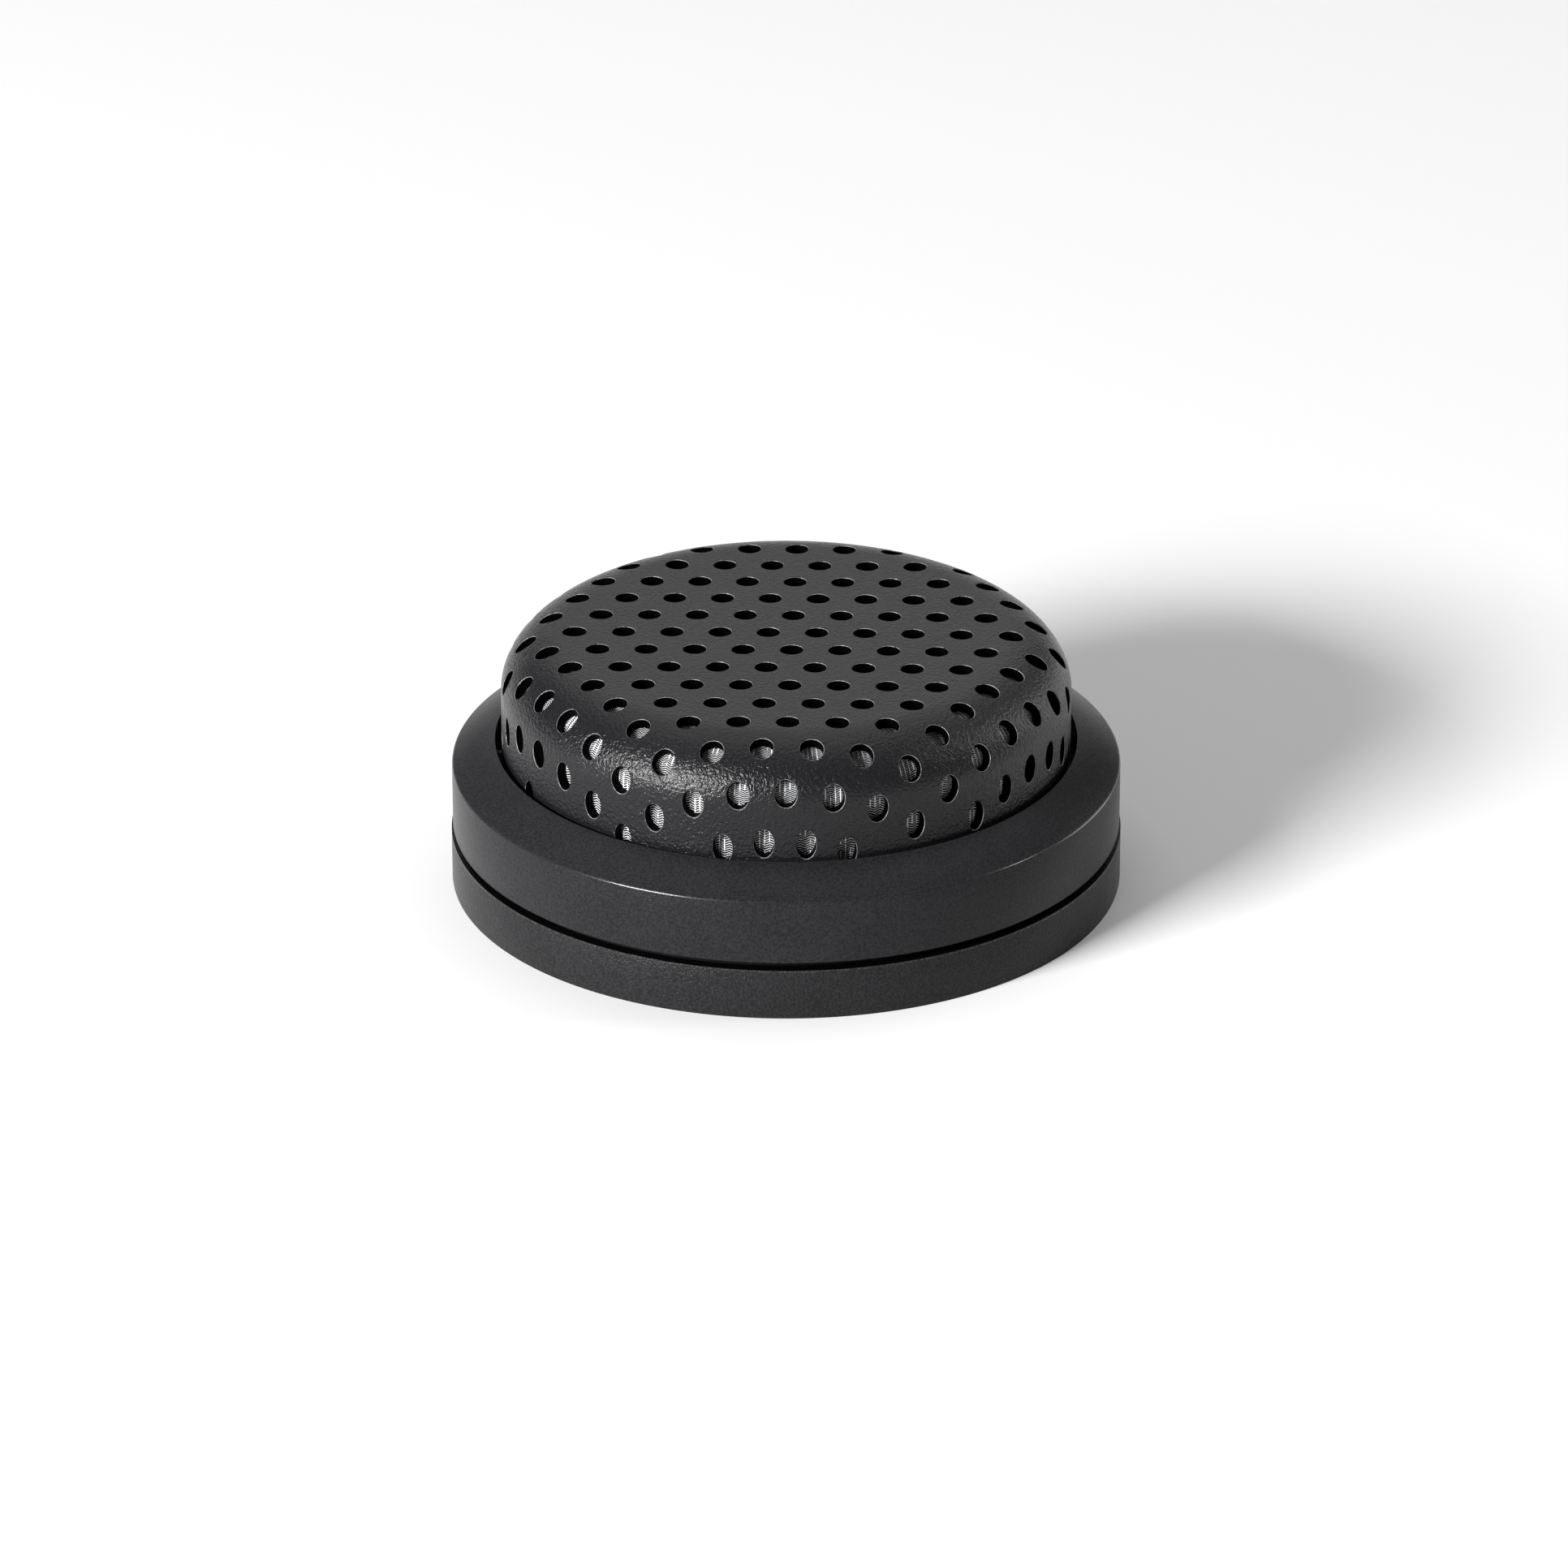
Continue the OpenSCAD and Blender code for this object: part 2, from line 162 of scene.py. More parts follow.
def turned(name, outline, segments=240, rounding=0.0, steps=3):
    """A closed solid of revolution round Z from [radius, height] points that go once round its section."""
    only(None)
    first_r, first_z = outline[0]
    bpy.ops.mesh.primitive_circle_add(vertices=segments, radius=first_r, location=(0, 0, first_z))
    obj = bpy.context.object
    obj.name = obj.data.name = name
    bpy.ops.object.transform_apply(location=True, rotation=False, scale=False)
    bpy.ops.object.mode_set(mode="EDIT")
    bpy.ops.mesh.select_all(action="SELECT")
    for (old_r, old_z), (new_r, new_z) in zip(outline, outline[1:] + outline[:1]):
        ring_step(old_r, old_z, new_r, new_z)
    bpy.ops.mesh.select_all(action="SELECT")
    bpy.ops.mesh.remove_doubles(threshold=0.2e-6)
    bpy.ops.mesh.normals_make_consistent(inside=False)
    bpy.ops.object.mode_set(mode="OBJECT")
    if rounding:
        round_edges(obj, rounding, steps)
    smooth(obj)
    print(name, "has", len(obj.data.polygons), "faces")
    return obj


def combine(obj, other, operation):
    """Adds the other's shape to obj with UNION, or cuts it out with DIFFERENCE, and removes the other."""
    boolean = obj.modifiers.new("combine", "BOOLEAN")
    boolean.operation = operation
    boolean.object = other
    boolean.solver = "EXACT"
    apply_all(obj)
    bpy.data.objects.remove(other)


def upright(at, turn, radius, low, high):
    """An upright cylinder, at a distance from the axis and a turn round it in degrees."""
    only(None)
    angle = math.radians(turn)
    middle = (at * math.cos(angle), at * math.sin(angle), (low + high) / 2)
    bpy.ops.mesh.primitive_cylinder_add(vertices=64, radius=radius, depth=high - low, location=middle)
    return bpy.context.object


# %% [markdown]
# ## Writing finishes as sums
# A procedural finish is arithmetic on a point's place: waves, noise and masks. `Value` lets that be
# written as plain Python, and every other node comes from `Finish.add`, which takes the node's type, its
# settings and its inputs.

# %% Helpers for finishes
class Value:
    """A number that changes over the surface. Python's signs add the Math nodes."""

    def __init__(self, finish, socket):
        self.finish, self.socket = finish, socket

    def math(self, operation, *others):
        inputs = dict(enumerate((self, *others)))
        return self.finish.add("ShaderNodeMath", {"operation": operation}, inputs)

    def __add__(self, other):
        return self.math("ADD", other)

    def __sub__(self, other):
        return self.math("SUBTRACT", other)

    def __mul__(self, other):
        return self.math("MULTIPLY", other)

    def __truediv__(self, other):
        return self.math("DIVIDE", other)

    def __rsub__(self, other):
        return self * -1.0 + other

    __radd__ = __add__
    __rmul__ = __mul__

    def clamped(self):
        return self.math("MAXIMUM", 0.0).math("MINIMUM", 1.0)


class Finish:
    """A material whose nodes are added one by one, ending in a Principled shader."""

    def __init__(self, name, **fixed):
        self.material = bpy.data.materials.new(name)
        self.material.use_nodes = True
        self.tree = self.material.node_tree
        self.tree.nodes.clear()
        self.shader = self.tree.nodes.new("ShaderNodeBsdfPrincipled")
        output = self.tree.nodes.new("ShaderNodeOutputMaterial")
        self.tree.links.new(self.shader.outputs[0], output.inputs[0])
        for key, value in fixed.items():
            self.shader.inputs[key.replace("_", " ")].default_value = value

    def put(self, socket, value):
        if isinstance(value, Value):
            self.tree.links.new(value.socket, socket)
        elif isinstance(value, (tuple, list)) and len(value) == 3 and socket.type == "RGBA":
            socket.default_value = (*value, 1.0)
        else:
            socket.default_value = value

    def add(self, kind, settings=None, inputs=None, output=0):
        node = self.tree.nodes.new(kind)
        for key, value in (settings or {}).items():
            setattr(node, key, value)
        for key, value in (inputs or {}).items():
            self.put(node.inputs[key], value)
        return Value(self, node.outputs[output])

    def place(self):
        """The point's own place on the piece, in metres."""
        return self.add("ShaderNodeTexCoord", output="Object")

    def axes(self):
        """The place's X, Y and Z as three numbers."""
        split = self.add("ShaderNodeSeparateXYZ", inputs={0: self.place()}).socket.node
        return [Value(self, split.outputs[k]) for k in range(3)]

    def noise(self, size, detail=2.0, where=None, stretch=None):
        """Soft random variation between 0 and 1, with blobs about the given size in metres."""
        where = where or self.place()
        if stretch:
            where = self.add("ShaderNodeVectorMath", {"operation": "MULTIPLY"}, {0: where, 1: stretch})
        return self.add("ShaderNodeTexNoise", None, {"Vector": where, "Scale": 1 / size, "Detail": detail})

    def wave(self, phase):
        """A smooth wave between 0 and 1, once for each whole number of phase."""
        return (phase * (2 * math.pi)).math("COSINE") * 0.5 + 0.5

    def shade(self, dark, light, mask):
        """A colour between dark and light, as the mask goes from 0 to 1."""
        settings = {"data_type": "RGBA"}
        return self.add("ShaderNodeMix", settings, {0: mask, 6: dark, 7: light}, output=2)

    def colour(self, value):
        self.put(self.shader.inputs["Base Color"], value)

    def rough(self, value):
        self.put(self.shader.inputs["Roughness"], value)

    def relief(self, height, depth):
        """Bumps the surface by height, a value from 0 to 1, times depth in metres."""
        inputs = {"Height": height, "Distance": depth, "Strength": 1.0}
        self.put(self.shader.inputs["Normal"], self.add("ShaderNodeBump", None, inputs))


def dress(obj, finish):
    """Gives obj a finish."""
    obj.data.materials.clear()
    obj.data.materials.append(finish.material)


# %% [markdown]
# ## Black powder coat for the grille
# Powder flows as it is baked and sets with a fine orange peel, with smaller grains on it. The rims of
# the holes are painted light grey as a painted highlight, and the bores are painted near black as painted
# shade, with a dark metallic shine. Two noises of different size make the skin, and two attributes on the
# mesh mark the rims and the bores.

# %% Grille paint
paint = Finish("grille_paint", Specular_IOR_Level=0.30)
peel = paint.noise(0.26 * MM, detail=3.0)
grain = paint.noise(0.14 * MM, detail=2.0)
rim = paint.add("ShaderNodeAttribute", {"attribute_name": "rim"}, output="Fac")
bore_shade = paint.add("ShaderNodeAttribute", {"attribute_name": "bore_shade"}, output="Fac")
cloud = paint.noise(6 * MM)
# Painted highlight: the rims of the holes are painted light grey.
painted_rim_highlight = rim * (paint.noise(0.5 * MM) * 2.6 - 0.6).clamped()
skin = paint.shade((0.005, 0.005, 0.006), (0.42, 0.42, 0.43), (painted_rim_highlight * 0.8 + cloud * 0.012).clamped())
# Painted shade: the bores are painted near black and given a dark metallic shine.
paint.colour(paint.shade(skin, (0.002, 0.002, 0.002), bore_shade))
paint.put(paint.shader.inputs["Metallic"], bore_shade)
paint.rough(0.23 + peel * 0.05 - rim * 0.05 + bore_shade * 0.5)
paint.relief(peel * 0.75 + grain * 0.25, 0.13 * MM)
print("the grille paint has", len(paint.tree.nodes), "nodes")

# %% [markdown]
# ## The woven liner
# Behind the holes lies a fine woven cloth that keeps dust out and lets sound through. Its cross threads
# run in small chevrons from rib to rib, and here and there an upright rib lies on top, painted lighter than
# the threads as a painted highlight.
# On the drawn side the ribs follow the pull of the cloth, down the wall; on the flat it is an even cloth.
# The pattern is worked out from the angle round the axis and from the length along the cloth, which the
# mesh carries as an attribute.

# %% Liner weave
RIB = 0.36 * MM
THREAD = 0.185 * MM
FLAT_CLOTH = 14.5 * MM
weave = Finish("liner_weave", Specular_IOR_Level=0.25)
x, y, z = weave.axes()
along = weave.add("ShaderNodeAttribute", {"attribute_name": "along"}, output="Fac")
ribs_round = round(2 * math.pi * LINER_R / RIB)
drawn = along.math("GREATER_THAN", FLAT_CLOTH)
around = y.math("ARCTAN2", x) * (ribs_round / (2 * math.pi))
rib_at = around * drawn + (x / RIB) * (1 - drawn)
thread_at = (along * drawn + y * (1 - drawn)) / THREAD
fold = (((rib_at * 0.5).math("FRACT") - 0.5).math("ABSOLUTE")) * 2.0
slanted = weave.wave(thread_at + fold * 0.9 + weave.noise(0.5 * MM) * 0.8)
from_rib = (rib_at.math("FRACT") - 0.5).math("ABSOLUTE") * 2.0
rib_shown = (weave.noise(1.1 * MM) * 5.0 - 1.8).clamped()
rib_wire = (from_rib * 6.0 - 4.0).clamped() * rib_shown
wires = slanted.math("MAXIMUM", rib_wire)
solid = (wires * 3.2 - 1.95).clamped()
# Painted highlight: the ribs are painted lighter than the threads around them.
weave.colour(weave.shade((0.003, 0.003, 0.003), (0.95, 0.96, 0.98), solid * (0.7 + rib_wire * 0.3)))
weave.rough(0.75 - rib_wire * 0.2)
weave.relief(wires, 0.05 * MM)
print("the cloth has", ribs_round, "ribs round the wall and a thread every", THREAD / MM, "mm")

# %% [markdown]
# ## Black anodised aluminium
# The bezel is turned from bar, beaded to an even, very fine grain and anodised satin black. The lathe
# tool leaves hair-fine grooves round the straight side at an even pitch, and they show in patches. The
# outer edges are broken and polished, and a thin clear coat stands for that shine. Height and radius say
# where the edges are.

# %% Bezel finish
MARK = 0.19 * MM
EDGE = 0.09 * MM
anodised = Finish("bezel_black", Specular_IOR_Level=0.12, Coat_Roughness=0.16)
x, y, z = anodised.axes()
marks = anodised.wave(z / MARK + anodised.noise(1.5 * MM) * 0.3)
patches = (anodised.noise(2.2 * MM, detail=1.0) * 2.4 - 0.6).clamped()
beads = anodised.noise(0.17 * MM, detail=3.0)
side = (bezel_low.z + BEZEL_SIDE - 0.15 * MM - z).math("GREATER_THAN", 0.0)
soft = anodised.noise(5 * MM)
radius = (x * x + y * y).math("SQRT")
at_side = (radius - BEZEL_R + 2.5 * EDGE).math("GREATER_THAN", 0.0)
top_edge = (1 - (z - bezel_low.z - BEZEL_SIDE).math("ABSOLUTE") / EDGE).clamped()
low_edge = (1 - (z - bezel_low.z).math("ABSOLUTE") / EDGE).clamped()
broken = ((top_edge + low_edge) * at_side).clamped()
sand = (beads * 4.5 - 1.75).clamped()
black = anodised.shade((0.007, 0.007, 0.008), (0.021, 0.021, 0.023), (soft * 0.4 + sand * 0.6).clamped())
anodised.colour(black)
anodised.rough(0.24 + beads * 0.10)
anodised.put(anodised.shader.inputs["Coat Weight"], broken)
anodised.relief((marks * side * patches * 0.25 + beads * 0.75) * (1 - broken), 0.045 * MM)
print("the bezel's side carries", round(BEZEL_SIDE / MARK), "lathe marks")

# %% [markdown]
# ## Moulded plastics and rubber
# The mould of the rear housing is spark eroded, which leaves a coarse matt grain. Handling polishes the
# grain's tips along the housing's top corner. The ledge behind it, which carries the gasket, is painted
# black as shade in the groove. Rubber is finer and duller. One function serves them all, from the grain's
# size and depth.

# %% Mouldings
CORNER = 0.10 * MM
LEDGE_NEAR = 0.015 * MM


def moulding(name, colour, light, rough, grain, depth, ledge_z=None):
    """A moulded finish: dark colour, lighter colour, roughness, grain size and grain depth. At a
    ledge's height it is painted black as shade in the groove, and the tips of the grain just below the ledge
    shine."""
    finish = Finish(name, Specular_IOR_Level=0.12, Coat_Roughness=0.18)
    coarse = finish.noise(grain, detail=3.0)
    patch = finish.noise(grain * 30)
    sand = (coarse * 4.5 - 1.75).clamped()
    shade = finish.shade(colour, light, (sand * 0.6 + patch * 0.4).clamped())
    if ledge_z:
        z = finish.axes()[2]
        below = ledge_z - z
        ledge_shade = below.math("LESS_THAN", LEDGE_NEAR)
        corner = (1 - (below - CORNER).math("ABSOLUTE") / CORNER).clamped()
        # Painted shade: the ledge in the groove is painted black.
        shade = finish.shade(shade, (0.001, 0.001, 0.001), ledge_shade)
        finish.put(finish.shader.inputs["Coat Weight"], corner * sand)
    finish.colour(shade)
    finish.rough(rough - 0.06 + coarse * 0.12)
    finish.relief(coarse, depth)
    return finish


NYLON_DARK, NYLON_LIGHT = (0.007, 0.007, 0.007), (0.022, 0.022, 0.024)
nylon = moulding("housing_nylon", NYLON_DARK, NYLON_LIGHT, 0.30, 0.17 * MM, 0.085 * MM, BAND_TOP)
rubber = moulding("rubber", (0.001, 0.001, 0.001), (0.003, 0.003, 0.003), 0.75, 0.10 * MM, 0.010 * MM)
foam = moulding("foam", (0.012, 0.012, 0.012), (0.050, 0.050, 0.050), 0.90, 0.25 * MM, 0.060 * MM)
ABS_DARK, ABS_LIGHT = (0.040, 0.040, 0.042), (0.075, 0.075, 0.080)
abs_plastic = moulding("chassis_plastic", ABS_DARK, ABS_LIGHT, 0.50, 0.12 * MM, 0.012 * MM)
face_abs = moulding("face_plastic", (0.025, 0.025, 0.026), (0.050, 0.050, 0.052), 0.42, 0.09 * MM, 0.008 * MM)
board_green = moulding("board", (0.030, 0.090, 0.035), (0.060, 0.150, 0.060), 0.38, 0.30 * MM, 0.010 * MM)
sleeve = moulding("wire_sleeve", (0.42, 0.03, 0.025), (0.55, 0.05, 0.04), 0.35, 0.20 * MM, 0.004 * MM)
amber_film = moulding("former_film", (0.42, 0.20, 0.04), (0.62, 0.36, 0.10), 0.28, 0.50 * MM, 0.003 * MM)
print(len(bpy.data.materials), "finishes so far")

# %% [markdown]
# ## Turned and pressed metals
# The motor's steel is turned and zinc plated, and the magnet is nickel plated over sintered powder. Both
# show rings round the axis. The rings come from the distance to the axis and from the height.

# %% Metals
def turned_metal(name, dark, light, rough, ring, depth):
    """A metal with tool marks round the Z axis, a given distance apart."""
    finish = Finish(name, Metallic=1.0)
    x, y, z = finish.axes()
    radius = (x * x + y * y).math("SQRT")
    marks = finish.wave((radius + z) / ring + finish.noise(2 * MM) * 1.5)
    stain = finish.noise(3 * MM, detail=3.0)
    finish.colour(finish.shade(dark, light, (stain * 0.8 + marks * 0.2).clamped()))
    finish.rough(rough - 0.06 + stain * 0.12)
    finish.relief(marks, depth)
    return finish


steel = turned_metal("zinc_steel", (0.50, 0.50, 0.52), (0.68, 0.68, 0.70), 0.34, 0.22 * MM, 0.004 * MM)
nickel = turned_metal("nickel", (0.62, 0.61, 0.58), (0.78, 0.77, 0.74), 0.18, 1.5 * MM, 0.002 * MM)
copper = turned_metal("copper", (0.68, 0.33, 0.18), (0.84, 0.48, 0.30), 0.30, 0.30 * MM, 0.003 * MM)
brass = turned_metal("brass", (0.66, 0.50, 0.24), (0.82, 0.66, 0.36), 0.30, 0.12 * MM, 0.006 * MM)
tinned = turned_metal("tinned_brass", (0.60, 0.56, 0.48), (0.76, 0.73, 0.66), 0.32, 0.40 * MM, 0.003 * MM)
OXIDE_DARK, OXIDE_LIGHT = (0.05, 0.05, 0.055), (0.11, 0.11, 0.12)
black_steel = turned_metal("black_steel", OXIDE_DARK, OXIDE_LIGHT, 0.38, 0.15 * MM, 0.004 * MM)
print(len(bpy.data.materials), "finishes so far")

# %% [markdown]
# ## Copper winding
# The coil is enamelled wire, wound side by side. Seen from outside it is a stack of round wires, so the
# relief is a wave over the height, one wave for each turn. The colour follows the same wave, with painted
# shade in the creases between turns and a painted highlight on their tops.

# %% Winding
WIRE = 0.12 * MM
winding = Finish("copper_winding", Metallic=1.0, Coat_Weight=0.6, Coat_Roughness=0.15)
x, y, z = winding.axes()
turns = winding.wave(z / WIRE)
# Painted shade in the creases between turns and painted highlight on their tops.
winding.colour(winding.shade((0.30, 0.10, 0.04), (0.80, 0.38, 0.18), turns))
winding.rough(0.28 + winding.noise(1 * MM) * 0.1)
winding.relief(turns, 0.03 * MM)
winding_low, winding_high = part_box("voice_coil_winding")
print("the coil shows", round((winding_high.z - winding_low.z) / WIRE), "turns")

# %% [markdown]
# ## Felt and silk
# Felt is loose fibre without direction, soft in light. The dome and its edge are woven silk, doped so
# that they are airtight: a fine square weave shows under the dope, which shines a little.

# %% Felt and silk
def felt(name, dark, light):
    finish = Finish(name, Sheen_Weight=0.5, Sheen_Roughness=0.6, Specular_IOR_Level=0.2)
    fibre = finish.noise(0.30 * MM, detail=6.0)
    clump = finish.noise(1.6 * MM, detail=2.0)
    mask = (fibre * 0.7 + clump * 0.5 - 0.1).clamped()
    finish.colour(finish.shade(dark, light, mask))
    finish.rough(0.85 + fibre * 0.1)
    finish.relief(mask, 0.12 * MM)
    return finish


def silk(name, dark, light, pitch, rough):
    finish = Finish(name, Coat_Weight=0.25, Coat_Roughness=0.3, Specular_IOR_Level=0.5)
    x, y, z = finish.axes()
    cloth = finish.wave(x / pitch).math("MAXIMUM", finish.wave(y / pitch))
    dope = finish.noise(2.2 * MM, detail=3.0)
    finish.colour(finish.shade(dark, light, (cloth * 0.6 + dope * 0.4).clamped()))
    finish.rough(rough - 0.08 + dope * 0.16)
    finish.relief(cloth * 0.6 + dope * 0.4, 0.02 * MM)
    return finish


grey_felt = felt("grey_felt", (0.10, 0.10, 0.11), (0.34, 0.34, 0.35))
white_felt = felt("white_felt", (0.48, 0.47, 0.43), (0.82, 0.81, 0.77))
dome_silk = silk("silk", (0.012, 0.011, 0.012), (0.045, 0.042, 0.044), 0.22 * MM, 0.45)
edge_silk = silk("silk_edge", (0.010, 0.010, 0.010), (0.040, 0.040, 0.040), 0.26 * MM, 0.55)
print(len(bpy.data.materials), "finishes in all")

# %% [markdown]
# ## One tile of the grille
# A perforated sheet is the same hexagon over and over, with a hole in its middle. The tile is turned as a
# thick washer whose hole has a rounded rim, and six bisecting cuts trim it to the hexagon. Its edge then
# meets its neighbours point for point, so the copies merge into one sheet.

# %% Tile
PITCH = 3.5 * MM
HOLE_R = 0.85 * MM
HOLE_SIDES = 24
RIM = 0.07 * MM
TILE_R = 0.66 * PITCH
RIM_STEPS = 3


def rim_arc():
    """The rounding of the hole's edge, from the face of the sheet down into the hole."""
    turns = [math.pi / 2 * k / RIM_STEPS for k in range(RIM_STEPS + 1)]
    return [(HOLE_R + RIM * (1 - math.sin(t)), -RIM * (1 - math.cos(t))) for t in turns]


def tile(name, outline):
    """A hexagon of sheet, extruded along the outline and trimmed on six sides."""
    only(None)
    first_r, first_z = outline[0]
    bpy.ops.mesh.primitive_circle_add(vertices=HOLE_SIDES, radius=first_r, rotation=(0, 0, math.pi / 2))
    obj = bpy.context.object
    obj.name = obj.data.name = name
    bpy.ops.object.transform_apply(location=True, rotation=True, scale=False)
    bpy.ops.object.mode_set(mode="EDIT")
    bpy.ops.mesh.select_all(action="SELECT")
    for (old_r, old_z), (new_r, new_z) in zip(outline, outline[1:]):
        ring_step(old_r, old_z, new_r, new_z)
    for k in range(6):
        turn = math.radians(60 * k)
        normal = (math.cos(turn), math.sin(turn), 0)
        bpy.ops.mesh.select_all(action="SELECT")
        corner = [PITCH / 2 * n for n in normal]
        bpy.ops.mesh.bisect(plane_co=corner, plane_no=normal, clear_outer=True)
    bpy.ops.mesh.select_all(action="SELECT")
    bpy.ops.mesh.remove_doubles(threshold=1e-6)
    bpy.ops.mesh.normals_make_consistent(inside=False)
    bpy.ops.object.mode_set(mode="OBJECT")
    return obj


BURR = 0.05 * MM
FACE_RINGS = (TILE_R, 1.50 * MM, 1.22 * MM, 0.99 * MM)
BACK_RINGS = (HOLE_R + BURR, 1.3 * MM, TILE_R)
BLANK_RINGS = (TILE_R, 1.2 * MM, 0.6 * MM, 0.001 * MM)
face_rings = [(r, 0) for r in FACE_RINGS]
back_rings = [(HOLE_R, BURR - SHEET)] + [(r, -SHEET) for r in BACK_RINGS]
punched = tile("punched", face_rings + rim_arc() + back_rings)
blank_rings = [(r, 0) for r in BLANK_RINGS]
blank_face = tile("blank_face", blank_rings)
# Known fault: tile starts every outline at height 0, so this back lies on the face and merges into it.
blank_back = tile("blank_back", [(r, z - SHEET) for r, z in blank_rings])
print("a tile has", len(punched.data.polygons), "faces")

# %% [markdown]
# ## A sheet of tiles
# Two Array modifiers repeat the tile along the rows and across them, each row half a pitch over. The
# sheet is turned and shifted as it lay in the press, a touch off square. What lies too far out is then
# selected by its place and deleted, and the border without holes is filled with blank tiles.

# %% Flat blank
ROW_TURN = math.radians(-1.3)
ROW_SHIFT = Vector((-1.30 * MM, 0.25 * MM, 0))
ROWS = 9
SHOULDER_R = 5.1 * MM
SHOULDER_H = 4.15 * MM
CROWN = 0.10 * MM
FLAT_R = WALL_R - SHOULDER_R
STRETCH_FROM = 12.7 * MM
STRETCH = (10.1, 200.0)
PUNCHED_LEN = 27.4 * MM
BLANK_LEN = 30.5 * MM


def drawn_length(flat_len):
    """How far along the drawn sheet a point lies that was flat_len from the middle of the blank."""
    past = np.maximum(0, flat_len - STRETCH_FROM)
    return flat_len + STRETCH[0] * past**2 + STRETCH[1] * past**3


def corners(obj):
    """The places of obj's points, one row each."""
    points = np.zeros(len(obj.data.vertices) * 3)
    obj.data.vertices.foreach_get("co", points)
    return points.reshape(-1, 3)


def face_middles(obj):
    middles = np.zeros(len(obj.data.polygons) * 3)
    obj.data.polygons.foreach_get("center", middles)
    return middles.reshape(-1, 3)


def delete_faces(obj, unwanted):
    """Deletes the faces marked True, with the points that only they use."""
    only(obj)
    bpy.ops.object.mode_set(mode="EDIT")
    bpy.ops.mesh.select_all(action="DESELECT")
    bpy.ops.object.mode_set(mode="OBJECT")
    obj.data.polygons.foreach_set("select", unwanted)
    bpy.ops.object.mode_set(mode="EDIT")
    bpy.ops.mesh.select_mode(type="FACE")
    bpy.ops.mesh.delete(type="FACE")
    bpy.ops.mesh.select_mode(type="VERT")
    bpy.ops.object.mode_set(mode="OBJECT")


def tile_centres(points):
    """The middle of the tile that each point of the sheet belongs to."""
    height = PITCH * math.sqrt(3) / 2
    turn = np.array([[math.cos(ROW_TURN), -math.sin(ROW_TURN)], [math.sin(ROW_TURN), math.cos(ROW_TURN)]])
    local = (points[:, :2] - np.array(ROW_SHIFT)[:2]) @ turn
    best, best_far = np.zeros_like(local), np.full(len(local), np.inf)
    for step in (0, 1):
        row = np.floor(local[:, 1] / height) + step
        column = np.round(local[:, 0] / PITCH - row / 2)
        centre = np.stack([(column + row / 2) * PITCH, row * height], axis=1)
        far = np.linalg.norm(local - centre, axis=1)
        nearer = far < best_far
        best[nearer], best_far[nearer] = centre[nearer], far[nearer]
    return best @ turn.T + np.array(ROW_SHIFT)[:2]


def sheet_of(obj, inner_len, outer_len):
    """Repeats a tile over the blank, and keeps the tiles whose middles lie between two lengths."""
    across, along_row = obj.modifiers.new("rows", "ARRAY"), obj.modifiers.new("columns", "ARRAY")
    steps = [(PITCH / 2, PITCH * math.sqrt(3) / 2, 0), (PITCH, 0, 0)]
    counts = [2 * ROWS + 1, 3 * ROWS + 1]
    for modifier, step, count in zip((across, along_row), steps, counts):
        modifier.count = count
        modifier.use_relative_offset = False
        modifier.use_constant_offset = True
        modifier.constant_offset_displace = step
    apply_all(obj)
    first_row, first_column = -ROWS, -math.floor(1.5 * ROWS)
    start = Vector(steps[0]) * first_row + Vector(steps[1]) * first_column
    only(obj)
    bpy.ops.transform.translate(value=start)
    bpy.ops.object.transform_apply(location=True, rotation=False, scale=False)
    obj.rotation_euler.z = ROW_TURN
    obj.location = ROW_SHIFT
    bpy.ops.object.transform_apply(location=True, rotation=True, scale=False)
    centres = tile_centres(face_middles(obj))
    lengths = drawn_length(np.linalg.norm(centres, axis=1))
    delete_faces(obj, (lengths < inner_len) | (lengths >= outer_len))


sheet_of(punched, 0, PUNCHED_LEN)
sheet_of(blank_face, PUNCHED_LEN, BLANK_LEN)
sheet_of(blank_back, PUNCHED_LEN, BLANK_LEN)
only(None)
for part in (blank_face, blank_back, punched):
    part.select_set(True)
bpy.context.view_layer.objects.active = punched
bpy.ops.object.join()
bpy.ops.object.mode_set(mode="EDIT")
bpy.ops.mesh.select_all(action="SELECT")
bpy.ops.mesh.remove_doubles(threshold=2e-6)
bpy.ops.object.mode_set(mode="OBJECT")
grille = punched
grille.name = grille.data.name = "perforated_grille"
print("the flat blank has", len(grille.data.polygons), "faces")

# %% [markdown]
# ## Marking the rims
# Before the sheet is bent, the rims of the holes are easy to find: they are the points just below its
# face, and everything deeper is bore or back. Each set gets an attribute of 1, which the paint reads for
# a painted highlight on the rims and painted shade in the bores.

# %% Rim attribute
flat = corners(grille)
RIM_TOP, RIM_LOW = -0.01 * MM, -0.9 * RIM
in_rim = (flat[:, 2] < RIM_TOP) & (flat[:, 2] > RIM_LOW)
in_bore = flat[:, 2] < RIM_LOW
for mask_name, mask in (("rim", in_rim), ("bore_shade", in_bore)):
    grille.data.attributes.new(mask_name, "FLOAT", "POINT").data.foreach_set("value", mask.astype(float))
print(int(in_rim.sum()), "points lie on rims and", int(in_bore.sum()), "deeper")

# %% [markdown]
# ## Drawing the sheet over the tool
# The press pulls the flat blank down over a round tool. Nothing in a menu follows a drawn sheet, so the
# points are moved by the rule of the press: a point keeps its direction from the middle, the sheet
# stretches as it goes over the shoulder, and its depth stays square to the surface. That is why the holes
# on the wall are tall ovals.

# %% Drawing
ARC_STEPS = 400
arc_turn = np.linspace(0, math.pi / 2, ARC_STEPS + 1)
arc_r = FLAT_R + SHOULDER_R * np.sin(arc_turn)
arc_z = TOP_Z - CROWN - SHOULDER_H * (1 - np.cos(arc_turn))
arc_len = FLAT_R + np.concatenate([[0], np.cumsum(np.hypot(np.diff(arc_r), np.diff(arc_z)))])


